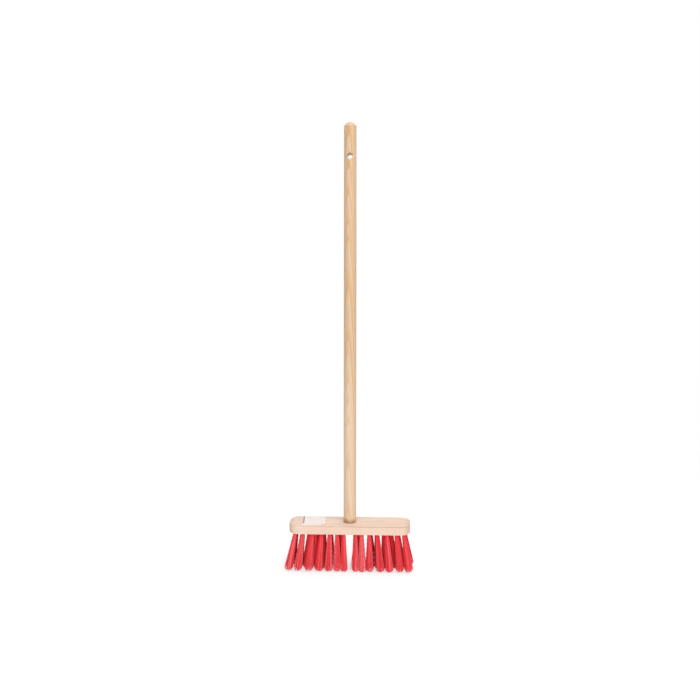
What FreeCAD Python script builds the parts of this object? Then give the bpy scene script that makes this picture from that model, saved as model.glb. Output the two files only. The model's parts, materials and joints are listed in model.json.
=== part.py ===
import FreeCAD, Part
import os

import Sketcher

# A small stick broom, in millimetres: a flat wooden head on a round wooden stick, with fanned bristle tufts.
# Head frame: X along the block, -Y to the front, +Z up, origin at the middle of the block's underside.
# At the end every piece moves so that the origin is the bottom centre of the whole broom.

SIZES = (
    ("block_length", 238.0, "head block along X"),
    ("block_depth", 60.0, "head block, front to back"),
    ("block_thickness", 17.0, "head block, underside to top"),
    ("corner_radius", 19.0, "block corners, seen from above"),
    ("top_round", 2.0, "softened upper edge of the block"),
    ("bottom_bevel", 1.0, "broken lower edge of the block"),
    ("handle_diameter", 25.0, "round stick"),
    ("handle_length", 800.0, "stick, socket end to top of dome"),
    ("handle_tilt", 8.0, "degrees that the stick leans to the back"),
    ("handle_end_chamfer", 1.0, "bevel at the socket end"),
    ("dome_rise", 8.5, "height of the domed top"),
    ("dome_edge_round", 2.0, "softened edge under the dome"),
    ("socket_depth", 12.0, "blind socket, along the stick's axis"),
    ("socket_clearance", 0.05, "all round the stick in its socket"),
    ("hang_hole_diameter", 11.0, "hole to hang the broom by"),
    ("hang_hole_drop", 68.0, "top of dome to middle of the hanging hole"),
    ("hang_sink_diameter", 15.0, "countersink on both sides of the hanging hole"),
    ("screw_diameter", 4.0, "wood screw that holds the stick"),
    ("screw_length", 30.0, "wood screw, over all"),
    ("screw_head_diameter", 8.0, "countersunk head"),
    ("screw_head_rim", 0.4, "straight rim of the head"),
    ("screw_point_length", 6.0, "tapered point"),
    ("screw_point_diameter", 0.6, "blunt end of the point"),
    ("screw_sunk", 0.8, "head below the underside, at its middle"),
    ("screw_clearance", 0.05, "all round the screw"),
    ("end_margin", 12.5, "outermost holes to the ends of the block"),
    ("side_margin", 14.0, "front and rear holes to the faces of the block"),
    ("centre_lean", -1.8, "tips out from their holes, towards the middle of the block"),
    ("end_lean", 11.2, "tips out from their holes, in the outermost columns"),
    ("row_lean", 2.0, "tips of the front and rear rows, out from their holes"),
    ("tuft_hole_diameter", 8.0, "drilled hole for a tuft"),
    ("tuft_hole_depth", 12.0, "drilled hole, along the tuft"),
    ("tuft_clearance", 0.1, "all round a tuft in its hole"),
    ("tip_clearance", 0.4, "between the tips of two tufts"),
    ("bristle_length", 80.0, "bristle outside the block"),
    ("anchor_width", 2.4, "steel strip over the fold of a tuft, along the hole"),
    ("anchor_thickness", 0.5, "steel strip"),
    ("anchor_clearance", 0.05, "between each end of the strip and the wall of the hole"),
    ("fold_thickness", 1.6, "bristle folded over the strip"),
)
# Columns of tufts on one side of the stick, as shares of the way from the middle to the outermost holes.
# The middle row starts further out, because the stick's socket is above its first column.
FRONT_COLUMNS = (0.107, 0.227, 0.364, 0.518, 0.687, 0.863, 1.0)
INNER_COLUMNS = (0.164, 0.365, 0.494, 0.622, 0.750, 0.879, 1.0)
ROWS = (("front", FRONT_COLUMNS), ("middle", INNER_COLUMNS[1:]), ("rear", INNER_COLUMNS))
BUNDLE_SIDES = 6  # flats on the simple solid that stands for a tuft
OVERRUN = 2.0  # how far a cutter runs past the surface that it cuts
TOLERANCE = 0.001  # between an edge and the height that it is looked for at

X_AXIS = FreeCAD.Vector(1, 0, 0)
Z_AXIS = FreeCAD.Vector(0, 0, 1)

doc = FreeCAD.newDocument("stick_broom")
sheet = doc.addObject("Spreadsheet::Sheet", "sizes")
for row, (alias, value, meaning) in enumerate(SIZES, start=1):
    sheet.set(f"A{row}", alias)
    sheet.set(f"B{row}", str(value))
    sheet.set(f"C{row}", meaning)
    sheet.setAlias(f"B{row}", alias)
doc.recompute()


def size(alias):
    return float(sheet.get(alias))


def worked_out(expression):
    return float(sheet.evalExpression(expression))


def bind(target, expressions):
    """Ties properties of an object to the sheet, and returns the object."""
    for prop, expression in expressions.items():
        target.setExpression(prop, expression)
    return target


def made(kind, name, expressions):
    return bind(doc.addObject(kind, name), expressions)


# Features of a body

def attached(body, kind, name, role, expressions):
    """A new feature of the body, on one of the body's own origin planes."""
    feature = body.newObject(kind, name)
    plane = next(item for item in body.Origin.OriginFeatures if item.Role == role)
    feature.AttachmentSupport = (plane, [""])
    feature.MapMode = "FlatFace"
    return bind(feature, expressions)


def sketched(body, name, role, corners, offset=None):
    """A sketch of one loop of straight legs through the corners, each a pair of expressions.

    The corners start evenly on a circle, and their dimensions pull them into place.
    """
    sketch = attached(body, "Sketcher::SketchObject", name, role, offset or {})
    count = len(corners)
    ring = Part.Circle(FreeCAD.Vector(), Z_AXIS, size("handle_diameter"))
    starts = [ring.value(ring.LastParameter * i / count) for i in range(count)]
    for i in range(count):
        sketch.addGeometry(Part.LineSegment(starts[i], starts[(i + 1) % count]))
    for i in range(count):
        sketch.addConstraint(Sketcher.Constraint("Coincident", i, 2, (i + 1) % count, 1))
    for i, (across, up) in enumerate(corners):
        for kind, expression, now in (("DistanceX", across, starts[i].x), ("DistanceY", up, starts[i].y)):
            number = sketch.addConstraint(Sketcher.Constraint(kind, -1, 1, i, 1, now))
            sketch.setExpression(f"Constraints[{number}]", expression)
    doc.recompute()
    return sketch


def revolved(body, name, outline, axis="V_Axis"):
    feature = body.newObject("PartDesign::Revolution", name)
    feature.Profile = outline
    feature.ReferenceAxis = (outline, [axis])
    feature.Angle = 360
    doc.recompute()
    return feature


def grooved(body, name, outline, axis="V_Axis"):
    """Turns the outline about one of its sketch's axes and takes it out of the body."""
    volume = body.Shape.Volume
    feature = body.newObject("PartDesign::Groove", name)
    feature.Profile = outline
    feature.ReferenceAxis = (outline, [axis])
    feature.Angle = 360
    doc.recompute()
    if not body.Shape.Volume < volume:
        raise RuntimeError(name + " removes nothing")
    return feature


def dressed(body, kind, name, base, chosen, expressions):
    """A fillet or chamfer on the edges of base for which chosen(edge) is true."""
    dressing = body.newObject("PartDesign::" + kind, name)
    dressing.Base = (base, [f"Edge{i}" for i, edge in enumerate(base.Shape.Edges, start=1) if chosen(edge)])
    bind(dressing, expressions)
    doc.recompute()
    return dressing


def lies_at(height):
    return lambda edge: max(abs(edge.BoundBox.ZMin - height), abs(edge.BoundBox.ZMax - height)) < TOLERANCE


def stands_upright(edge):
    return edge.BoundBox.XLength + edge.BoundBox.YLength < TOLERANCE


# The stick's axis starts at the middle of the block's top face and leans to the back.

stick_frame = FreeCAD.Placement(
    FreeCAD.Vector(0, 0, size("block_thickness")), FreeCAD.Rotation(X_AXIS, -size("handle_tilt"))
)
WOOD_ON_AXIS = "(sizes.block_thickness / cos(sizes.handle_tilt * 1 deg))"
SCREW_IN_BLOCK = f"({WOOD_ON_AXIS} - sizes.screw_sunk - sizes.socket_depth)"


def on_stick_axis(height):
    """Placement on the stick's axis, at this height over the block's top face."""
    return stick_frame * FreeCAD.Placement(FreeCAD.Vector(0, 0, height), FreeCAD.Rotation())


def make_handle():
    """Turned stick with a beveled lower end, a domed top, a countersunk hanging hole and a pilot hole."""
    body = doc.addObject("PartDesign::Body", "handle")
    radius = "sizes.handle_diameter / 2"
    shoulder = "(sizes.handle_length - sizes.dome_rise)"
    outline = sketched(
        body,
        "stick_outline",
        "XZ_Plane",
        (
            ("0", "0"),
            (f"{radius} - sizes.handle_end_chamfer", "0"),
            (radius, "sizes.handle_end_chamfer"),
            (radius, shoulder),
            ("0", shoulder),
        ),
    )
    revolved(body, "stick", outline)

    dome_radius = f"((({radius})^2 + sizes.dome_rise^2) / (2 * sizes.dome_rise))"
    dome = attached(
        body,
        "PartDesign::AdditiveSphere",
        "dome",
        "XY_Plane",
        {
            "Radius": dome_radius,
            "Angle1": f"asin(1 - sizes.dome_rise / {dome_radius})",
            "AttachmentOffset.Base.z": f"sizes.handle_length - {dome_radius}",
        },
    )
    doc.recompute()
    dome_edge = lies_at(size("handle_length") - size("dome_rise"))
    dressed(body, "Fillet", "dome_edge", dome, dome_edge, {"Radius": "sizes.dome_edge_round"})

    bore = "sizes.hang_hole_diameter / 2"
    straight = "(sizes.handle_diameter + sizes.hang_hole_diameter - sizes.hang_sink_diameter) / 2"
    outside = f"({radius} + {OVERRUN})"
    mouth = f"sizes.hang_sink_diameter / 2 + {OVERRUN}"
    hole = sketched(
        body,
        "hanging_hole_outline",
        "YZ_Plane",
        (
            (f"-{outside}", "0"),
            (outside, "0"),
            (outside, mouth),
            (straight, bore),
            (f"-{straight}", bore),
            (f"-{outside}", mouth),
        ),
        {"AttachmentOffset.Base.y": "sizes.handle_length - sizes.hang_hole_drop"},
    )
    grooved(body, "hanging_hole", hole, "H_Axis")

    screw = "(sizes.screw_diameter / 2 + sizes.screw_clearance)"
    depth = f"(sizes.screw_length - {SCREW_IN_BLOCK} + sizes.screw_clearance)"
    pilot = sketched(
        body,
        "pilot_outline",
        "XZ_Plane",
        (("0", f"-{OVERRUN}"), (screw, f"-{OVERRUN}"), (screw, depth), ("0", depth)),
    )
    grooved(body, "pilot_hole", pilot)
    body.Placement = on_stick_axis(-size("socket_depth"))
    return body


def make_screw():
    """Countersunk wood screw, from the underside of the block into the stick."""
    body = doc.addObject("PartDesign::Body", "handle_screw")
    head = "sizes.screw_head_diameter / 2"
    shank = "sizes.screw_diameter / 2"
    outline = sketched(
        body,
        "screw_outline",
        "XZ_Plane",
        (
            ("0", "0"),
            (head, "0"),
            (head, "sizes.screw_head_rim"),
            (shank, f"sizes.screw_head_rim + {head} - {shank}"),
            (shank, "sizes.screw_length - sizes.screw_point_length"),
            ("sizes.screw_point_diameter / 2", "sizes.screw_length"),
            ("0", "sizes.screw_length"),
        ),
    )
    revolved(body, "screw", outline)
    body.Placement = on_stick_axis(size("screw_sunk") - worked_out(WOOD_ON_AXIS))
    return body


# Tufts. A tuft's own frame has its origin where the tuft leaves the block and +Z into the hole.
# The tips of a row are spread further than its holes.

HALF_ROW = "(sizes.block_length / 2 - sizes.end_margin)"
HALF_ROW_SPREAD = "(sizes.end_lean - sizes.centre_lean)"
ROW_STEPS = len(ROWS) - 1
ROW_PITCH = f"((sizes.block_depth - 2 * sizes.side_margin) / {ROW_STEPS})"
ROW_SPREAD = f"(2 * sizes.row_lean / {ROW_STEPS})"
NARROWEST_STEP = min(outer - inner for _, shares in ROWS for inner, outer in zip(shares, shares[1:]))


def tuft_places():
    """(row name, place in that row, tuft frame) for each tuft, rows front to back and columns left to right."""
    half_row, half_row_spread = worked_out(HALF_ROW), worked_out(HALF_ROW_SPREAD)
    row_pitch, row_spread = worked_out(ROW_PITCH), worked_out(ROW_SPREAD)
    for j, (row_name, shares) in enumerate(ROWS):
        from_middle = j - ROW_STEPS / 2
        columns = [(-1, share) for share in reversed(shares)] + [(1, share) for share in shares]
        for place, (side, share) in enumerate(columns, start=1):
            hole_x = side * share * half_row
            lean_x = side * (size("centre_lean") + share * half_row_spread)
            yield row_name, place, tuft_frame(
                hole_x, from_middle * row_pitch, lean_x, from_middle * row_spread
            )


def tuft_frame(hole_x, hole_y, lean_x, lean_y):
    """Frame of a tuft from its hole in the underside, and how far out from the hole its tips are."""
    into_hole = FreeCAD.Vector(-lean_x, -lean_y, size("bristle_length"))
    rotation = FreeCAD.Rotation(X_AXIS, FreeCAD.Vector(), into_hole, "ZXY")
    return FreeCAD.Placement(FreeCAD.Vector(hole_x, hole_y, 0), rotation)


def make_drill(name, frame):
    drill = made(
        "Part::Cylinder",
        name,
        {"Radius": "sizes.tuft_hole_diameter / 2", "Height": f"sizes.tuft_hole_depth + {OVERRUN}"},
    )
    drill.Placement = frame * FreeCAD.Placement(FreeCAD.Vector(0, 0, -OVERRUN), FreeCAD.Rotation())
    return drill


def make_anchor(name, frame):
    """Flat steel strip across the hole, under the fold of the tuft."""
    span = "(sqrt(sizes.tuft_hole_diameter^2 - sizes.anchor_thickness^2) - 2 * sizes.anchor_clearance)"
    sides = {"Length": span, "Width": "sizes.anchor_thickness", "Height": "sizes.anchor_width"}
    anchor = made("Part::Box", name, sides)
    doc.recompute([anchor])
    fold_inside = size("tuft_hole_depth") - size("tuft_clearance") - size("fold_thickness")
    lower_edge = fold_inside - size("anchor_width")
    corner = FreeCAD.Vector(-anchor.Length.Value / 2, -size("anchor_thickness") / 2, lower_edge)
    anchor.Placement = frame * FreeCAD.Placement(corner, FreeCAD.Rotation())
    return anchor


def make_bundle():
    """One tuft in its own frame: a root that fills its hole, a flare, and a domed end.

    The end is domed because bristles of one length spread. The strip's slot is cut out of the root.
    """
    root = "sizes.tuft_hole_diameter / 2 - sizes.tuft_clearance"
    tip_pitch = f"min({NARROWEST_STEP} * ({HALF_ROW} + {HALF_ROW_SPREAD}); {ROW_PITCH} + {ROW_SPREAD})"
    spread = f"({tip_pitch} - sizes.tip_clearance) / 2"
    sections = []
    for name, radius, height in (
        ("root_end", root, "sizes.tuft_hole_depth - sizes.tuft_clearance"),
        ("root_mouth", root, "0"),
        ("widest", spread, f"-sqrt(sizes.bristle_length^2 - ({spread})^2)"),
        ("tips", f"{spread} / 2", f"-sqrt(sizes.bristle_length^2 - ({spread} / 2)^2)"),
    ):
        section = made("Part::RegularPolygon", name, {"Circumradius": radius, "Placement.Base.z": height})
        section.Polygon = BUNDLE_SIDES
        sections.append(section)
    blank = doc.addObject("Part::Loft", "bundle_blank")
    blank.Sections = sections
    blank.Solid = True
    blank.Ruled = True
    blank.Linearize = True
    bundle = doc.addObject("Part::Cut", "bundle")
    bundle.Base = blank
    bundle.Tool = make_anchor("bundle_slot", FreeCAD.Placement())
    doc.recompute()
    return bundle


def make_tuft(name, bundle, frame):
    tuft = doc.addObject("Part::Feature", name)
    tuft.Shape = bundle.Shape.copy()
    tuft.Placement = frame
    return tuft


def make_block(drills):
    """Flat block with rounded corners, an inclined socket, a countersunk screw hole and the tuft holes."""
    body = doc.addObject("PartDesign::Body", "block_blank")
    half_length = "sizes.block_length / 2"
    half_depth = "sizes.block_depth / 2"
    outline = sketched(
        body,
        "block_outline",
        "XY_Plane",
        (
            (f"-{half_length}", f"-{half_depth}"),
            (half_length, f"-{half_depth}"),
            (half_length, half_depth),
            (f"-{half_length}", half_depth),
        ),
    )
    slab = bind(body.newObject("PartDesign::Pad", "slab"), {"Length": "sizes.block_thickness"})
    slab.Profile = outline
    doc.recompute()
    corners = dressed(body, "Fillet", "corners", slab, stands_upright, {"Radius": "sizes.corner_radius"})
    top_edge = lies_at(size("block_thickness"))
    upper = dressed(body, "Fillet", "upper_edge", corners, top_edge, {"Radius": "sizes.top_round"})
    dressed(body, "Chamfer", "lower_edge", upper, lies_at(0), {"Size": "sizes.bottom_bevel"})

    socket = "(sizes.handle_diameter / 2 + sizes.socket_clearance)"
    hole = "(sizes.screw_diameter / 2 + sizes.screw_clearance)"
    sink = "(sizes.screw_head_diameter / 2 + sizes.screw_clearance)"
    head_top = f"({WOOD_ON_AXIS} - sizes.screw_sunk)"
    sink_end = f"({head_top} - sizes.screw_head_rim)"
    bore = sketched(
        body,
        "socket_outline",
        "YZ_Plane",
        (
            ("0", f"-{WOOD_ON_AXIS} - {OVERRUN}"),
            (sink, f"-{WOOD_ON_AXIS} - {OVERRUN}"),
            (sink, f"-{sink_end}"),
            (hole, f"-{sink_end} + {sink} - {hole}"),
            (hole, "-sizes.socket_depth"),
            (socket, "-sizes.socket_depth"),
            (socket, f"{OVERRUN}"),
            ("0", f"{OVERRUN}"),
        ),
        {
            "AttachmentOffset.Base.y": "sizes.block_thickness",
            "AttachmentOffset.Rotation.Angle": "-sizes.handle_tilt",
        },
    )
    grooved(body, "socket", bore)
    tuft_holes = doc.addObject("Part::Compound", "tuft_holes")
    tuft_holes.Links = drills
    block = doc.addObject("Part::Cut", "head_block")
    block.Base = body
    block.Tool = tuft_holes
    return block


def stand_on_origin(pieces):
    """Moves all pieces so that the origin is the bottom centre of the box round them."""
    box = Part.makeCompound([piece.Shape for piece in pieces]).optimalBoundingBox(False, False)
    move = FreeCAD.Placement(FreeCAD.Vector(-box.Center.x, -box.Center.y, -box.ZMin), FreeCAD.Rotation())
    for piece in pieces:
        piece.Placement = move * piece.Placement
    doc.recompute()


def check_and_write(pieces):
    for item in doc.Objects:
        if "Invalid" in item.State or "Error" in item.State:
            raise RuntimeError(f"{item.Label} failed: {item.State}")
    for piece in pieces:
        if piece.Shape.isNull() or not piece.Shape.isValid():
            raise RuntimeError(f"{piece.Label} has no valid shape")
    os.makedirs("parts", exist_ok=True)
    for piece in pieces:
        piece.Shape.exportStep(f"parts/{piece.Label}.step")


def main():
    bundle = make_bundle()
    tufts, drills, anchors = [], [], []
    for row_name, place, frame in tuft_places():
        tail = f"{row_name}_{place:02d}"
        drills.append(make_drill(f"drill_{tail}", frame))
        anchors.append(make_anchor(f"anchor_{tail}", frame))
        tufts.append(make_tuft(f"{row_name}_tuft_{place:02d}", bundle, frame))
    tuft_anchors = doc.addObject("Part::Compound", "tuft_anchors")
    tuft_anchors.Links = anchors
    pieces = [make_block(drills), make_handle(), make_screw(), tuft_anchors, *tufts]
    doc.recompute()
    stand_on_origin(pieces)
    check_and_write(pieces)


main()
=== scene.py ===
import json
import math
import random

import bpy
from mathutils import Matrix, Vector

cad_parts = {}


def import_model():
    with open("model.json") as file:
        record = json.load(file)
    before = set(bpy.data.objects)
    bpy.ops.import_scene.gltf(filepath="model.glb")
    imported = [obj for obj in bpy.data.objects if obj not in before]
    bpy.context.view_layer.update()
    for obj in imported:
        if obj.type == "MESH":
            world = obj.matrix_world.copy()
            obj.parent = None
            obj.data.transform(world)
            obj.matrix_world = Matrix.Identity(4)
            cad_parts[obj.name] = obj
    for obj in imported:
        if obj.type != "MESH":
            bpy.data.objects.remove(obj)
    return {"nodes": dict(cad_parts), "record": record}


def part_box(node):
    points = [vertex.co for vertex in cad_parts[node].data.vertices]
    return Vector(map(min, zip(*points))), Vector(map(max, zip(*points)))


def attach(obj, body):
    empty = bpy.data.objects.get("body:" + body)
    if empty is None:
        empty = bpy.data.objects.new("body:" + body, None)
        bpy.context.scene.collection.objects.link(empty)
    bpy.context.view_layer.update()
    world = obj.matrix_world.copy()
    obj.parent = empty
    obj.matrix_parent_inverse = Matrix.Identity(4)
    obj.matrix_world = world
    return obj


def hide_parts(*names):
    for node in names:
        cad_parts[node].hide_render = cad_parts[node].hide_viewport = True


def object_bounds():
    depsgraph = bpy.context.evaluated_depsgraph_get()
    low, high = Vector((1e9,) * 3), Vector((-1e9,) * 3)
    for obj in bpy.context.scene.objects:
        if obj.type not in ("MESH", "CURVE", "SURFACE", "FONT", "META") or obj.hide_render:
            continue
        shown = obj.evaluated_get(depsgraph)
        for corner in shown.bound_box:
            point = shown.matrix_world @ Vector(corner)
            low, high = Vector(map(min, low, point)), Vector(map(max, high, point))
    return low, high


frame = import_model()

# Stick broom, in metres and in the CAD frame: X along the block, -Y to the front, +Z up, floor at Z = 0.
# The stick, block, screw and anchors keep their CAD meshes and get materials. Crimped bristles replace each
# plain tuft, and a paper label is added.

MM = 0.001
CAD_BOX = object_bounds()
NODES = frame["nodes"]
RECORD = frame["record"]
SCENE = bpy.context.scene


# Measures that come from the CAD model

def mount(name):
    """Place, direction and measures of one of the broom's mounts."""
    row = next(m for m in RECORD["mounts"] if m["name"] == name)
    return Vector(row["pos_m"]), Vector(row["axis"]).normalized(), row["dims"]


BLOCK_LOW, BLOCK_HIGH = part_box("head_block")
BLOCK_MIDDLE = (BLOCK_LOW + BLOCK_HIGH) / 2
CLIP, STICK_AXIS, CLIP_DIMS = mount("stick_clip")
STICK_RADIUS = CLIP_DIMS["r_mm"] * MM
STICK_FOOT = CLIP + STICK_AXIS * ((BLOCK_HIGH.z - CLIP.z) / STICK_AXIS.z)  # where it enters the block
STICK_LEAN = math.atan2(STICK_AXIS.y, STICK_AXIS.z)


# Shader nodes

def colour(red, green, blue):
    """Linear colour from an sRGB one, each channel from 0 to 255."""
    linear = []
    for channel in (red, green, blue):
        value = channel / 255
        linear.append(value / 12.92 if value <= 0.04045 else ((value + 0.055) / 1.055) ** 2.4)
    return (*linear, 1.0)


class Graph:
    """The node graph of one material or world, with a short call for each kind of node used here."""

    def __init__(self, name, library=bpy.data.materials):
        self.owner = library.new(name)
        self.owner.use_nodes = True
        self.tree = self.owner.node_tree
        self.tree.nodes.clear()

    def put(self, socket, value):
        if isinstance(value, bpy.types.NodeSocket):
            self.tree.links.new(value, socket)
        else:
            socket.default_value = value

    def node(self, kind, inputs=None, **settings):
        made = self.tree.nodes.new("ShaderNode" + kind)
        for name, value in settings.items():
            setattr(made, name, value)
        for socket, value in (inputs or {}).items():
            self.put(made.inputs[socket], value)
        return made

    def position(self, location=(0, 0, 0), turn=(0, 0, 0)):
        """Object coordinates, in the frame that stands at this place with this turn."""
        coordinates = self.node("TexCoord").outputs["Object"]
        inputs = {"Vector": coordinates, "Location": location, "Rotation": turn}
        return self.node("Mapping", inputs, vector_type="TEXTURE").outputs["Vector"]

    def split(self, vector):
        made = self.node("SeparateXYZ", {"Vector": vector})
        return made.outputs["X"], made.outputs["Y"], made.outputs["Z"]

    def joined(self, x, y, z):
        return self.node("CombineXYZ", {"X": x, "Y": y, "Z": z}).outputs["Vector"]

    def math(self, operation, a, b=0.0, c=0.0):
        return self.node("Math", {0: a, 1: b, 2: c}, operation=operation).outputs[0]

    def add(self, *terms):
        total = terms[0]
        for term in terms[1:]:
            total = self.math("ADD", total, term)
        return total

    def minus(self, a, b):
        return self.math("SUBTRACT", a, b)

    def times(self, a, b):
        return self.math("MULTIPLY", a, b)

    def between(self, value, low, high, to_low=0.0, to_high=1.0):
        """Value from low..high, smoothly and clamped, to to_low..to_high."""
        inputs = {"Value": value, "From Min": low, "From Max": high, "To Min": to_low, "To Max": to_high}
        return self.node("MapRange", inputs, interpolation_type="SMOOTHSTEP").outputs["Result"]

    def noise(self, vector, per_metre, detail=2.0, roughness=0.5):
        """Soft noise about 0.5, with this many blobs in a metre along X, Y and Z."""
        scaled = self.node("VectorMath", {0: vector, 1: per_metre}, operation="MULTIPLY").outputs["Vector"]
        inputs = {"Vector": scaled, "Scale": 1.0, "Detail": detail, "Roughness": roughness}
        return self.node("TexNoise", inputs).outputs["Fac"]

    def wobble(self, vector, per_metre, reach):
        """Length that wanders up to half of its reach either way."""
        return self.times(self.minus(self.noise(vector, per_metre, 3.0), 0.5), reach)

    def ramp(self, factor, stops):
        """Values along a factor, from (place, value) pairs."""
        made = self.node("ValToRGB", {"Fac": factor})
        elements = made.color_ramp.elements
        while len(elements) < len(stops):
            elements.new(0.5)
        for element, (place, value) in zip(elements, stops):
            element.position = place
            element.color = value if isinstance(value, tuple) else (value, value, value, 1.0)
        return made.outputs["Color"]

    def curve(self, value, points):
        """A free curve through (place, height) pairs, all from 0 to 1."""
        made = self.node("FloatCurve", {"Value": value})
        line = made.mapping.curves[0]
        while len(line.points) < len(points):
            line.points.new(0.5, 0.5)
        for point, place in zip(line.points, points):
            point.location = place
            point.handle_type = "VECTOR"
        made.mapping.update()
        return made.outputs["Value"]

    def mix(self, factor, a, b):
        """Colour a where the factor is 0, and b where it is 1."""
        return self.node("Mix", {0: factor, 6: a, 7: b}, data_type="RGBA").outputs[2]

    def bump(self, height, distance, strength):
        inputs = {"Height": height, "Distance": distance, "Strength": strength}
        return self.node("Bump", inputs).outputs["Normal"]

    def rounded_edge(self):
        """1 in the middle of a rounded upper edge, 0 on level and upright faces."""
        up = self.split(self.node("TexCoord").outputs["Normal"])[2]
        not_upright = self.between(up, 0.15, 0.5)
        not_level = self.between(up, 0.97, 0.8)
        return self.times(not_upright, not_level)

    def edge_wear(self, radius):
        """0 on flat and smoothly curved faces, up to 1 within this radius of a sharp edge."""
        rounded = self.node("Bevel", {"Radius": radius}, samples=6).outputs["Normal"]
        plain = self.node("NewGeometry").outputs["Normal"]
        alike = self.node("VectorMath", {0: rounded, 1: plain}, operation="DOT_PRODUCT").outputs["Value"]
        return self.between(alike, 0.998, 0.86)

    def shows_background(self):
        """1 for a ray that shows the background: the camera's own, or one off a mirror or through glass."""
        path = self.node("LightPath").outputs
        mirrored = self.math("MAXIMUM", path["Is Glossy Ray"], path["Is Transmission Ray"])
        return self.math("MAXIMUM", path["Is Camera Ray"], mirrored)

    def finished(self, kind, shader):
        """The material or world, which now shows this shader."""
        self.node("Output" + kind, {"Surface": shader.outputs[0]})
        return self.owner

    def surface(self, inputs):
        return self.finished("Material", self.node("BsdfPrincipled", inputs))


# Wood of the stick: rings about a pith that runs behind the stick and comes nearer to it towards the top,
# so that each ring crosses the front as an arch with two long legs

PITH_BEHIND = 75 * MM  # from the stick's axis, at its foot
PITH_SLOPE = 0.03  # how fast the pith comes nearer
GRAIN_TURN = math.radians(-14)  # of the pith's side, about the stick's axis
ARCHES = (  # where the arches have their tops, in mm up from the stick's foot and on past its end
    21, 118, 200, 243, 279, 338, 357, 464, 562, 588, 649, 698, 768,
    860, 925, 1010, 1070, 1150, 1210, 1290, 1345, 1430, 1490, 1560, 1640, 1700,
)
RING_SPAN = 1760 * MM  # arch heights from 0 to this are mapped to rings
LATE_WOOD = ((0.0, 0.9), (0.05, 1.0), (0.3, 0.5), (0.65, 0.12), (0.9, 0.0), (1.0, 0.9))  # through one ring
FAINT_RINGS = (250 * MM, 420 * MM)  # arch heights over which the rings come to full strength
PALE_FOOT = (180 * MM, 420 * MM)  # heights over which the paler wood below ends
SHADED_FOOT = (-1 * MM, 11 * MM)  # heights over which the painted shade where the stick enters the block ends
STICK_EDGE = 0.8 * MM  # worn width along its sharp edges

PINE_ROSY = colour(214, 185, 159)
PINE_STRAW = colour(210, 184, 150)
PINE_FOOT = colour(230, 205, 177)
PINE_LATE = colour(198, 150, 100)
PINE_LATE_PALE = colour(208, 163, 112)
PINE_STREAK = colour(222, 182, 138)
PINE_FIBRE = colour(204, 162, 120)
PINE_JOINT_SHADE = colour(150, 105, 70)
PINE_WORN = colour(190, 148, 108)


def stick_turn():
    turn = Matrix.Rotation(-STICK_LEAN, 3, "X") @ Matrix.Rotation(GRAIN_TURN, 3, "Z")
    return turn.to_euler("XYZ")


def arch_height(g, x, y, z):
    """Where on the front of the stick the ring through this point has the top of its arch."""
    pith = g.math("MULTIPLY_ADD", z, -PITH_SLOPE, PITH_BEHIND)
    behind = g.minus(pith, y)
    away = g.math("SQRT", g.add(g.times(x, x), g.times(behind, behind)))
    return g.math("DIVIDE", g.minus(PITH_BEHIND + STICK_RADIUS, away), PITH_SLOPE)


def ring_profile(g, height):
    """0 in pale early wood to 1 in the dark late wood, which starts sharply at the top of each arch."""
    share = g.math("DIVIDE", height, RING_SPAN)
    count = len(ARCHES) + 1
    points = [(0.0, 0.0)]
    points += [(arch * MM / RING_SPAN, (i + 1) / count) for i, arch in enumerate(ARCHES)]
    points += [(1.0, 1.0)]
    ring = g.times(g.curve(share, points), float(count))
    return g.ramp(g.math("FRACT", ring), LATE_WOOD)


def stick_wood():
    g = Graph("stick_wood")
    place = g.position(STICK_FOOT, stick_turn())
    x, y, z = g.split(place)
    fibres = g.noise(place, (1500, 1500, 26), 4.0, 0.62)
    streaks = g.noise(place, (260, 260, 5), 3.0, 0.55)
    drift = g.noise(place, (30, 30, 11))
    height = g.add(arch_height(g, x, y, z), g.wobble(place, (90, 90, 14), 30 * MM))
    rings = ring_profile(g, height)
    strength = g.between(height, *FAINT_RINGS, 0.5, 1.0)
    pale = g.mix(g.between(drift, 0.35, 0.65), PINE_ROSY, PINE_STRAW)
    pale = g.mix(g.between(z, *PALE_FOOT, 0.6, 0.0), pale, PINE_FOOT)
    dark = g.mix(g.between(streaks, 0.3, 0.7), PINE_LATE, PINE_LATE_PALE)
    wood = g.mix(g.times(rings, strength), pale, dark)
    wood = g.mix(g.between(streaks, 0.42, 0.85, 0.0, 0.35), wood, PINE_STREAK)
    wood = g.mix(g.between(fibres, 0.52, 0.82, 0.0, 0.45), wood, PINE_FIBRE)
    # painted shade: the wood darkens, raggedly, towards where the stick enters the block
    ragged = g.add(z, g.wobble(place, (210, 210, 60), 14 * MM))
    wood = g.mix(g.between(ragged, *SHADED_FOOT, 0.85, 0.0), wood, PINE_JOINT_SHADE)
    wood = g.mix(g.times(g.edge_wear(STICK_EDGE), 0.4), wood, PINE_WORN)
    relief = g.add(g.times(fibres, 0.6), g.times(rings, 0.25), g.times(streaks, 0.3))
    return g.surface({
        "Base Color": wood,
        "Roughness": g.between(fibres, 0.3, 0.75, 0.44, 0.62),
        "Specular IOR Level": 0.5,
        "Sheen Weight": 0.2,
        "Sheen Roughness": 0.35,
        "Normal": g.bump(relief, 0.12 * MM, 0.7),
    })


# Wood of the block: fine straight grain along X, with short darker flecks

BLOCK_PITH_BELOW = 80 * MM  # from the block's middle
BLOCK_PITH_SLOPE = 0.03  # how fast the pith drops along X
BLOCK_RING = 3.6 * MM  # from one ring to the next
BLOCK_LATE_WOOD = ((0.0, 0.0), (0.62, 0.3), (0.9, 1.0), (0.97, 0.8), (1.0, 0.0))  # through one ring
BLOCK_END = 13 * MM  # darker end grain and painted shade on the rounded ends, over this length towards each end

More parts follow.
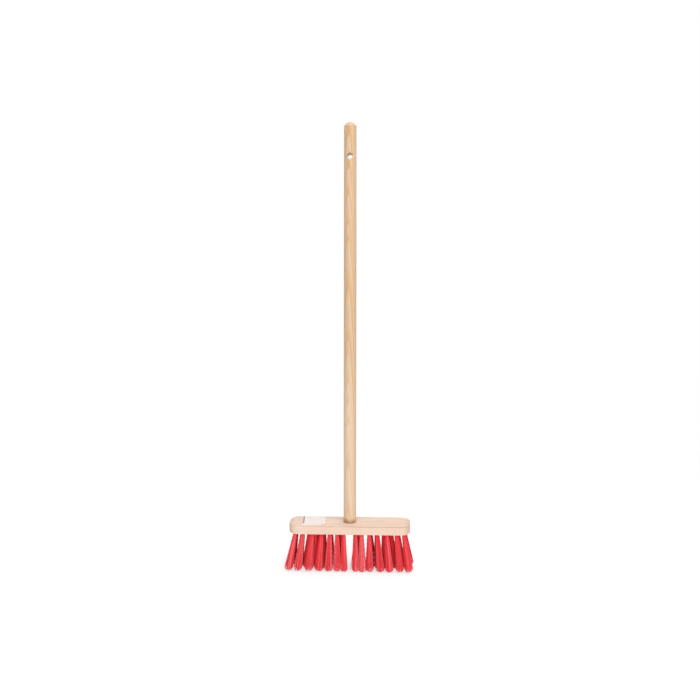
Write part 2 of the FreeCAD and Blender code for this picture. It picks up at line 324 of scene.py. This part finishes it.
BEECH_PALE = colour(239, 214, 197)
BEECH_WARM = colour(233, 205, 184)
BEECH_RING = colour(216, 178, 148)
BEECH_FIBRE = colour(214, 175, 144)
BEECH_FLECK = colour(180, 134, 102)
BEECH_END_GRAIN_SHADE = colour(204, 170, 142)
BEECH_EDGE = colour(190, 157, 132)


def block_wood():
    g = Graph("block_wood")
    place = g.position(BLOCK_MIDDLE)
    x, y, z = g.split(place)
    fibres = g.noise(place, (22, 1100, 1100), 4.0, 0.6)
    flecks = g.noise(place, (420, 2400, 1600), 1.0, 0.4)
    clouds = g.noise(place, (14, 26, 26), 3.0)
    far = g.add(z, BLOCK_PITH_BELOW, g.times(x, BLOCK_PITH_SLOPE), g.wobble(place, (7, 30, 30), 9 * MM))
    away = g.math("SQRT", g.add(g.times(y, y), g.times(far, far)))
    rings = g.ramp(g.math("FRACT", g.math("DIVIDE", away, BLOCK_RING)), BLOCK_LATE_WOOD)
    wood = g.mix(g.between(clouds, 0.3, 0.7), BEECH_PALE, BEECH_WARM)
    wood = g.mix(g.times(rings, 0.42), wood, BEECH_RING)
    wood = g.mix(g.between(fibres, 0.5, 0.8, 0.0, 0.42), wood, BEECH_FIBRE)
    wood = g.mix(g.between(flecks, 0.66, 0.74, 0.0, 0.6), wood, BEECH_FLECK)
    # darker end grain, with painted shade where the rounded ends turn away
    ends = g.between(g.math("ABSOLUTE", x), BLOCK_HIGH.x - BLOCK_END, BLOCK_HIGH.x, 0.0, 0.5)
    wood = g.mix(ends, wood, BEECH_END_GRAIN_SHADE)
    # darker along the rounded upper edges, in patches
    darker_edge = g.times(g.rounded_edge(), g.between(clouds, 0.3, 0.65, 0.45, 1.0))
    wood = g.mix(darker_edge, wood, BEECH_EDGE)
    relief = g.add(g.times(fibres, 0.6), g.times(rings, 0.15), g.times(flecks, 0.25))
    return g.surface({
        "Base Color": wood,
        "Roughness": g.between(fibres, 0.3, 0.75, 0.5, 0.66),
        "Specular IOR Level": 0.4,
        "Normal": g.bump(relief, 0.1 * MM, 0.6),
    })


# Steel of the screw and the anchors, and red plastic of the bristles

ZINC_BLUE = colour(176, 178, 184)
ZINC_BRIGHT = colour(206, 206, 204)
ZINC_DULL = colour(132, 130, 128)

RED_DEEP = colour(250, 30, 40)
RED_PLAIN = colour(255, 77, 85)
RED_PALE = colour(255, 136, 140)
RED_MOTTLE = colour(255, 104, 108)
RED_UPPER_SHADE = colour(240, 24, 34)
RED_ROOT_SHADE = colour(170, 14, 26)
RED_TIP_SHADE = colour(168, 62, 76)


def zinc_steel():
    g = Graph("zinc_steel")
    place = g.position()
    grain = g.noise(place, (900, 900, 5200), 3.0)
    spangle = g.noise(place, (420, 420, 420))
    tint = g.mix(g.between(spangle, 0.35, 0.65), ZINC_BLUE, ZINC_BRIGHT)
    return g.surface({
        "Base Color": g.mix(g.between(grain, 0.55, 0.8, 0.0, 0.4), tint, ZINC_DULL),
        "Metallic": 1.0,
        "Roughness": g.between(grain, 0.3, 0.7, 0.28, 0.5),
        "Normal": g.bump(grain, 0.02 * MM, 0.6),
    })


def red_plastic():
    """Each bristle has its own tone, with painted shade towards its root under the block and painted shade
    at its cut end near the floor.
    """
    g = Graph("red_bristle")
    tone = g.node("Attribute", attribute_name="tone").outputs["Fac"]
    along = g.node("Attribute", attribute_name="along").outputs["Fac"]
    mottle = g.noise(g.position(), (1400, 1400, 300))
    red = g.ramp(tone, ((0.0, RED_DEEP), (0.5, RED_PLAIN), (1.0, RED_PALE)))
    red = g.mix(g.between(mottle, 0.4, 0.7, 0.0, 0.25), red, RED_MOTTLE)
    # painted shade: deeper and darker red towards the root, under the block
    red = g.mix(g.between(along, 0.3, 0.0, 0.0, 0.3), red, RED_UPPER_SHADE)
    red = g.mix(g.between(along, 0.1, 0.0, 0.0, 0.55), red, RED_ROOT_SHADE)
    # painted shade: darker at the cut end, near the floor
    red = g.mix(g.between(along, 0.945, 0.985, 0.0, 0.6), red, RED_TIP_SHADE)
    return g.surface({
        "Base Color": red,
        "Roughness": g.between(mottle, 0.3, 0.7, 0.34, 0.5),
        "Specular IOR Level": 0.08,
        "Normal": g.bump(mottle, 0.03 * MM, 0.5),
    })


# Bristles: each tuft of the CAD model becomes a fan of thin crimped tubes, set out in the tuft's own frame.
# It starts at the mouth of the hole, with across to the right, over to the front, and along the way down.

# One bristle
FILAMENT_RADIUS = 0.47 * MM
FILAMENT_SIDES = 5
FILAMENT_STEPS = 24
IN_HOLE = 4 * MM  # how far it is followed into its hole
CRIMP_LENGTH = 10 * MM
CRIMP_DEPTH = 0.32 * MM
CRIMP_START = 8 * MM  # the crimp grows to its full depth over this length
CRIMP_RANGE = (0.9, 1.1)  # times its length
SIDE_NORMAL = 0.5  # how far a bristle's normals follow its own side
TUFT_NORMAL = 0.6  # and how far they point out of the tuft as a whole, which softens its shading

# How the bristles fill a tuft
FILAMENTS = 54
GOLDEN_ANGLE = math.pi * (3 - math.sqrt(5))  # from one bristle to the next
ANGLE_RANGE = (-0.2, 0.2)  # added to that
ROOT_RADIUS = 3.4 * MM
DEPTH_SPREAD = 8.0 * MM  # to the front and back, at the tips
WIDEST_SPREAD = 9.8 * MM  # to either side
OUTER_SPREAD = 9.6 * MM  # past the ends of the block
GAP_SPREAD = 7.6 * MM  # into the gap in the middle of a row
CROWDING = {"front": 0.66, "middle": 0.8, "rear": 0.8}  # spread, as a share of the way to the next tuft
SPREAD_RANGE = (0.96, 1.06)  # times a bristle's spread
WILD_SHARE = 0.05  # of the bristles end further out
WILD_SPREAD = 1.2  # times as far
CLUMPS = 5
CLUMP_PLACE = 0.66  # of the tuft's spread, from its middle
CLUMP_RANGE = (-0.3, 0.3)  # of the way to the next clump
CLUMP_PULL = (0.0, 0.25)  # of a tip's way to the middle of its clump
ROUNDED_TIPS = (5, 9)  # mm by which the outermost bristles of a tuft are shorter
UNEVEN_TIPS = (0, 1.6)  # mm by which any bristle is shorter

# Where the tips of a tuft go, beyond the lean of its hole
TIP_NUDGES = (  # mm to the right, in the front row
    -5.0, -2.8, -2.0, -1.7, -1.2, 0, 0,
    -0.2, -0.8, -1.9, 0.7, -1.6, -1.4, 0,
)
INNER_NUDGE = (-2, 2)  # mm to the right, in the other rows
INNER_LEANS = {"middle_tuft_01": -3.5, "rear_tuft_01": -3.5}  # mm to the right, added to that nudge
STRAYS = {"front_tuft_08": -9.5 * MM}  # a tuft that one bristle has left, and how far to its right

# Tones, from 0 for the deepest red to 1 for the palest
MIDDLE_TONE = 0.52
BRISTLE_TONES = 0.19  # how much the bristles of a clump differ
CLUMP_TONES = (-0.18, 0.18)
TUFT_TONES = (-0.1, 0.1)
INNER_ROWS_SHADE = 0.32  # painted shade: how much deeper red the other rows are than the front one, standing for the shade they sit in

FIRST_SEED = 1000
ROOT_END = 1.3 * MM  # the corners of a CAD tuft within this of its top are its root
TIP_END = 5 * MM  # and those within this of its bottom are its tips


def polar(radius, angle):
    return Vector((radius * math.cos(angle), radius * math.sin(angle)))


def tuft_axis(name):
    """Mouth of a tuft's hole, the way down from it and the length to its tips, from its solid."""
    corners = {tuple(round(c, 6) for c in vertex.co) for vertex in NODES[name].data.vertices}
    corners = [Vector(corner) for corner in corners]
    top = max(corner.z for corner in corners)
    bottom = min(corner.z for corner in corners)
    roots = [corner for corner in corners if corner.z > top - ROOT_END]
    tips = [corner for corner in corners if corner.z < bottom + TIP_END]
    root = sum(roots, Vector()) / len(roots)
    tip = sum(tips, Vector()) / len(tips)
    down = (tip - root).normalized()
    mouth = root + down * ((BLOCK_LOW.z - root.z) / down.z)
    return mouth, down, (tip - mouth).length


def tuft_tip(axis):
    mouth, down, length = axis
    return mouth + down * length


def tuft_spreads(name, axes):
    """How far the tips of a tuft spread to the left and to the right, towards its neighbours."""
    row, number = name.rsplit("_", 1)
    tip = tuft_tip(axes[name])
    spreads = []
    for step in (-1, 1):
        neighbour = f"{row}_{int(number) + step:02d}"
        room = OUTER_SPREAD
        if neighbour in axes:
            other = tuft_tip(axes[neighbour])
            room = min((other - tip).length * CROWDING[row.split("_")[0]], WIDEST_SPREAD)
            if (other.x - BLOCK_MIDDLE.x) * (tip.x - BLOCK_MIDDLE.x) < 0:
                room = GAP_SPREAD
        spreads.append(room)
    return spreads


class Tuft:
    """The bristles of one tuft, with small differences that are drawn from its own seed."""

    def __init__(self, name, number, axes):
        rng = random.Random(FIRST_SEED + number)
        self.name = name
        self.rng = rng
        self.mouth, self.down, self.length = axes[name]
        self.across = (Vector((1, 0, 0)) - self.down * self.down.x).normalized()
        self.over = self.down.cross(self.across)
        self.left, self.right = tuft_spreads(name, axes)
        self.clumps = [self.clump_place(i) for i in range(CLUMPS)]
        self.rounding = rng.uniform(*ROUNDED_TIPS) * MM
        if name.startswith("front"):
            self.nudge = TIP_NUDGES[int(name[-2:]) - 1] * MM
            shade_tone = 0.0
        else:
            self.nudge = (rng.uniform(*INNER_NUDGE) + INNER_LEANS.get(name, 0)) * MM
            # painted shade: the inner rows get a deeper red
            shade_tone = INNER_ROWS_SHADE
        self.tone = rng.uniform(*TUFT_TONES) - shade_tone
        self.clump_tones = [rng.uniform(*CLUMP_TONES) for _ in self.clumps]

    def spread_to(self, angle):
        """How far the tips spread from the tuft's middle at this angle, 0 to the right."""
        sideways = self.right if math.cos(angle) > 0 else self.left
        return math.hypot(sideways * math.cos(angle), DEPTH_SPREAD * math.sin(angle))

    def clump_place(self, number):
        angle = math.tau * (number + self.rng.uniform(*CLUMP_RANGE)) / CLUMPS
        return polar(1.0, angle) * self.spread_to(angle) * CLUMP_PLACE

    def filament(self, index):
        """Tone of one bristle, and its (across, over, along, share of the length) points."""
        rng = self.rng
        rim = math.sqrt((index + 0.5) / FILAMENTS)  # 0 in the middle of the tuft, 1 at its rim
        angle = index * GOLDEN_ANGLE + rng.uniform(*ANGLE_RANGE)
        wild = WILD_SPREAD if rng.random() < WILD_SHARE else 1.0
        start = polar(ROOT_RADIUS * rim, angle)
        tip = polar(self.spread_to(angle) * rim * rng.uniform(*SPREAD_RANGE) * wild, angle)
        clump = min(range(CLUMPS), key=lambda i: (self.clumps[i] - tip).length)
        tip = tip.lerp(self.clumps[clump], rng.uniform(*CLUMP_PULL))
        if self.name in STRAYS and index == FILAMENTS // 2:
            tip = Vector((STRAYS[self.name], -DEPTH_SPREAD / 2))
        reach = self.length - self.rounding * rim ** 4 - rng.uniform(*UNEVEN_TIPS) * MM
        points = self.crimped(start, tip, reach)
        tone = rng.gauss(MIDDLE_TONE, BRISTLE_TONES) + self.tone + self.clump_tones[clump]
        return min(1.0, max(0.0, tone)), points

    def crimped(self, start, tip, reach):
        """Points of a bristle that waves about the line from its start to its tip."""
        phase = self.rng.uniform(0, math.tau)
        side = self.rng.uniform(0, math.tau)
        crimp = CRIMP_LENGTH * self.rng.uniform(*CRIMP_RANGE)
        points = []
        for step in range(FILAMENT_STEPS + 1):
            along = -IN_HOLE + (reach + IN_HOLE) * step / FILAMENT_STEPS
            below = max(along, 0.0)
            out = below / self.length
            centre = start.lerp(tip, out) + Vector((self.nudge * out, 0))
            depth = CRIMP_DEPTH * min(1.0, below / CRIMP_START)
            wave = depth * math.sin(math.tau * along / crimp + phase)
            points.append((centre.x + wave * math.cos(side), centre.y + wave * math.sin(side), along, out))
        return points

    def ring(self, point):
        """Corners of a bristle around one of its points, and the normals there."""
        right, forward, along, out = point
        centre = self.mouth + self.across * right + self.over * forward + self.down * along
        radius = ROOT_RADIUS + (DEPTH_SPREAD - ROOT_RADIUS) * out
        outward = (self.across * (right - self.nudge * out) + self.over * forward) / radius
        corners, normals = [], []
        for i in range(FILAMENT_SIDES):
            turn = math.tau * i / FILAMENT_SIDES
            side = self.across * math.cos(turn) + self.over * math.sin(turn)
            corners.append(centre + side * FILAMENT_RADIUS)
            normals.append((side * SIDE_NORMAL + outward * TUFT_NORMAL).normalized())
        return corners, normals


def filament_faces(first):
    """Sides and both ends of a bristle whose rings of corners start at this vertex."""
    faces = []
    for step in range(FILAMENT_STEPS):
        ring = first + step * FILAMENT_SIDES
        for i in range(FILAMENT_SIDES):
            j = (i + 1) % FILAMENT_SIDES
            faces.append((ring + i, ring + j, ring + FILAMENT_SIDES + j, ring + FILAMENT_SIDES + i))
    last = first + FILAMENT_STEPS * FILAMENT_SIDES
    faces.append(tuple(first + i for i in reversed(range(FILAMENT_SIDES))))
    faces.append(tuple(last + i for i in range(FILAMENT_SIDES)))
    return faces


def tuft_piece(tuft, material):
    vertices, faces, normals = [], [], []
    attributes = {"tone": [], "along": []}
    for index in range(FILAMENTS):
        tone, points = tuft.filament(index)
        faces += filament_faces(len(vertices))
        for point in points:
            corners, outward = tuft.ring(point)
            vertices += corners
            normals += outward
            attributes["tone"] += [tone] * FILAMENT_SIDES
            attributes["along"] += [point[-1]] * FILAMENT_SIDES
    mesh = bpy.data.meshes.new(tuft.name + "_bristles")
    mesh.from_pydata(vertices, [], faces)
    for attribute, values in attributes.items():
        mesh.attributes.new(attribute, "FLOAT", "POINT").data.foreach_set("value", values)
    mesh.materials.append(material)
    mesh.shade_smooth()
    mesh.normals_split_custom_set_from_vertices(normals)
    placed(mesh, "red_bristle", tuft.name)


def placed(mesh, slot=None, *replaced):
    """Puts a mesh in the scene, on the broom's only body."""
    piece = bpy.data.objects.new(mesh.name, mesh)
    SCENE.collection.objects.link(piece)
    if replaced:
        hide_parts(*replaced)
    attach(piece, "root")


# Label on top of the block, at the left, bare but for a grey strip at its left end

LABEL_LENGTH = 44 * MM
LABEL_DEPTH = 50 * MM
LABEL_THICKNESS = 0.14 * MM
LABEL_GAP = 0.02 * MM  # over the wood
LABEL_FROM_MIDDLE = 92 * MM  # its left edge, from the middle of the block
LABEL_FROM_BACK = 3.5 * MM
LABEL_TURN = math.radians(3)
LABEL_CORNER = 1.6 * MM
LABEL_GRID = 28  # squares along each side
LIFT = 1.1 * MM  # of the front right corner
LIFT_LENGTH = 0.28  # share of the label's length that lifts
LIFT_DEPTH = 0.3  # share of its depth
STRIP_WIDTH = 3 * MM
STRIP_START = 9.2 * MM  # from the front of the label
STRIP_BLUR = 0.2 * MM
LABEL_PLACE = Vector((  # of its front left corner
    BLOCK_MIDDLE.x - LABEL_FROM_MIDDLE,
    BLOCK_HIGH.y - LABEL_FROM_BACK - LABEL_DEPTH,
    BLOCK_HIGH.z,
))

PAPER_PALE = colour(246, 234, 229)
PAPER_WARM = colour(242, 228, 221)
PAPER_PULP = colour(224, 208, 200)
STRIP_GREY = colour(148, 134, 131)


def label_paper():
    g = Graph("label_paper")
    place = g.position(LABEL_PLACE, (0, 0, LABEL_TURN))
    x, y, _ = g.split(place)
    pulp = g.noise(place, (1600, 1600, 1600), 3.0)
    clouds = g.noise(place, (90, 90, 90))
    paper = g.mix(g.between(clouds, 0.35, 0.65), PAPER_PALE, PAPER_WARM)
    paper = g.mix(g.between(pulp, 0.5, 0.75, 0.0, 0.3), paper, PAPER_PULP)
    left = g.between(x, STRIP_WIDTH + STRIP_BLUR, STRIP_WIDTH - STRIP_BLUR)
    behind = g.between(y, STRIP_START - STRIP_BLUR, STRIP_START + STRIP_BLUR)
    return g.surface({
        "Base Color": g.mix(g.times(g.times(left, behind), 0.85), paper, STRIP_GREY),
        "Roughness": g.between(pulp, 0.3, 0.7, 0.55, 0.75),
        "Specular IOR Level": 0.3,
        "Normal": g.bump(g.add(g.times(pulp, 0.3), clouds), 0.08 * MM, 0.6),
    })


def label_point(u, v):
    """Place on the label from 0..1 shares of its sides, with rounded corners and a slightly lifted one."""
    x, y = u * LABEL_LENGTH, v * LABEL_DEPTH
    inset_x = min(x, LABEL_LENGTH - x)
    inset_y = min(y, LABEL_DEPTH - y)
    if inset_x < LABEL_CORNER and inset_y < LABEL_CORNER:
        middle_x = LABEL_CORNER if x < LABEL_LENGTH / 2 else LABEL_LENGTH - LABEL_CORNER
        middle_y = LABEL_CORNER if y < LABEL_DEPTH / 2 else LABEL_DEPTH - LABEL_CORNER
        away = Vector((x - middle_x, y - middle_y))
        square = max(abs(away.x), abs(away.y))
        if away.length > 0:
            away *= square / away.length
        x, y = middle_x + away.x, middle_y + away.y
    right = max(0.0, (u - (1 - LIFT_LENGTH)) / LIFT_LENGTH)
    forward = max(0.0, (LIFT_DEPTH - v) / LIFT_DEPTH)
    return Vector((x, y, right ** 2 * forward ** 2 * LIFT))


def label_piece(material):
    vertices, faces = [], []
    turn = Matrix.Rotation(LABEL_TURN, 3, "Z")
    row = LABEL_GRID + 1
    for height in (LABEL_GAP, LABEL_GAP + LABEL_THICKNESS):
        start = LABEL_PLACE + Vector((0, 0, height))
        for j in range(row):
            for i in range(row):
                vertices.append(start + turn @ label_point(i / LABEL_GRID, j / LABEL_GRID))
    upper = row * row
    for j in range(LABEL_GRID):
        for i in range(LABEL_GRID):
            low = j * row + i
            high = upper + low
            faces.append((low, low + row, low + row + 1, low + 1))
            faces.append((high, high + 1, high + row + 1, high + row))
    rim = list(range(row))
    rim += [j * row + LABEL_GRID for j in range(1, row)]
    rim += [LABEL_GRID * row + i for i in reversed(range(LABEL_GRID))]
    rim += [j * row for j in reversed(range(1, LABEL_GRID))]
    for here, there in zip(rim, rim[1:] + rim[:1]):
        faces.append((here, there, upper + there, upper + here))
    mesh = bpy.data.meshes.new("paper_label")
    mesh.from_pydata(vertices, [], faces)
    mesh.materials.append(material)
    placed(mesh)


# Studio

FLOOR_HALF = 8.0  # from its middle to each side
FLOOR_PAINT = 0.86
LIT_PLACES = (-0.7, 1.1)  # Y before and behind the broom
LIT_LEVELS = (0.80, 0.61)  # how bright the lamps make the paint at those two places
SHADOW_SHARE = 0.5  # of what a camera sees near the broom that is lit paint; the rest is an even white
SHADOW_FADES = (0.45, 1.3)  # distances from the origin over which that share goes to nothing
WORLD_LIGHT = 0.45
LAMPS = {  # place from the broom's middle, side of its square, watts
    "key": ((0.1, -2.9, 0.4), 1.2, 30),
    "fill": ((2.2, -2.0, 0.6), 1.8, 9.5),
    "top": ((0.2, -0.5, 2.4), 1.6, 36),
    "back": ((1.0, 2.6, 0.9), 1.6, 14),
}
CAMERA_AZIMUTH = math.radians(3.43)
CAMERA_ELEVATION = math.radians(8.99)
CAMERA_ROLL = math.radians(-0.41)
CAMERA_DISTANCE = 1.775
CAMERA_LENS = 47.4686  # mm
CAMERA_SENSOR = 36.0  # mm
AIM_RIGHT = 2.7 * MM  # of the block's middle
AIM_UP = 361.1 * MM  # from the block's underside


def floor_paint():
    """Paint that a camera sees as white, with the broom's shadow on it."""
    g = Graph("floor")
    seen = g.shows_background()
    place = g.position()
    away = g.node("VectorMath", {0: place}, operation="LENGTH").outputs["Value"]
    lit = g.between(g.split(place)[1], *LIT_PLACES, *LIT_LEVELS)
    share = g.between(away, *SHADOW_FADES, SHADOW_SHARE, 0.0)
    paint = g.times(FLOOR_PAINT, g.add(1.0, g.times(seen, g.minus(share, 1.0))))
    white = g.times(seen, g.minus(1.0, g.times(share, lit)))
    both = g.node("AddShader", {
        0: g.node("BsdfDiffuse", {"Color": g.joined(paint, paint, paint)}).outputs[0],
        1: g.node("Emission", {"Color": (1, 1, 1, 1), "Strength": white}).outputs[0],
    })
    return g.finished("Material", both)


def floor():
    z = CAD_BOX[0].z
    corners = [(x * FLOOR_HALF, y * FLOOR_HALF, z) for x, y in ((-1, -1), (1, -1), (1, 1), (-1, 1))]
    mesh = bpy.data.meshes.new("floor")
    mesh.from_pydata(corners, [], [(0, 1, 2, 3)])
    mesh.materials.append(floor_paint())
    piece = bpy.data.objects.new("floor", mesh)
    SCENE.collection.objects.link(piece)


def world():
    """Soft light from all sides, and a white background behind it."""
    g = Graph("studio", bpy.data.worlds)
    strength = g.between(g.shows_background(), 0.0, 1.0, WORLD_LIGHT, 1.0)
    background = g.node("Background", {"Color": (1, 1, 1, 1), "Strength": strength})
    SCENE.world = g.finished("World", background)


def lamp(name, place, side, watts):
    """Large square lamp that faces the middle of the broom."""
    data = bpy.data.lights.new(name, "AREA")
    data.shape = "SQUARE"
    data.size = side
    data.energy = watts
    piece = bpy.data.objects.new(name, data)
    SCENE.collection.objects.link(piece)
    target = (CAD_BOX[0] + CAD_BOX[1]) / 2
    piece.location = target + Vector(place)
    piece.rotation_euler = (target - piece.location).to_track_quat("-Z", "Y").to_euler()
    piece.visible_camera = False


def camera():
    data = bpy.data.cameras.new("camera")
    data.lens = CAMERA_LENS
    data.sensor_width = CAMERA_SENSOR
    piece = bpy.data.objects.new("camera", data)
    SCENE.collection.objects.link(piece)
    level = Vector((math.sin(CAMERA_AZIMUTH), -math.cos(CAMERA_AZIMUTH), 0))
    back = level * math.cos(CAMERA_ELEVATION) + Vector((0, 0, math.sin(CAMERA_ELEVATION)))
    right = Vector((0, 0, 1)).cross(back).normalized()
    tilted = right * math.cos(CAMERA_ROLL) + back.cross(right) * math.sin(CAMERA_ROLL)
    matrix = Matrix((tilted, back.cross(tilted), back)).transposed().to_4x4()
    aim = Vector((BLOCK_MIDDLE.x + AIM_RIGHT, BLOCK_MIDDLE.y, BLOCK_LOW.z + AIM_UP))
    matrix.translation = aim + back * CAMERA_DISTANCE
    piece.matrix_world = matrix
    SCENE.camera = piece


# The whole scene

def assign(node, material):
    """Gives a CAD mesh one material."""
    mesh = NODES[node].data
    mesh.materials.clear()
    mesh.materials.append(material)


assign("handle", stick_wood())
assign("head_block", block_wood())
steel = zinc_steel()
assign("handle_screw", steel)
assign("tuft_anchors", steel)
plastic = red_plastic()
tuft_axes = {name: tuft_axis(name) for name in sorted(NODES) if "_tuft_" in name}
for number, name in enumerate(tuft_axes):
    tuft_piece(Tuft(name, number, tuft_axes), plastic)
label_piece(label_paper())
floor()
world()
for name, settings in LAMPS.items():
    lamp(name, *settings)
camera()
SCENE.view_settings.view_transform = "Standard"
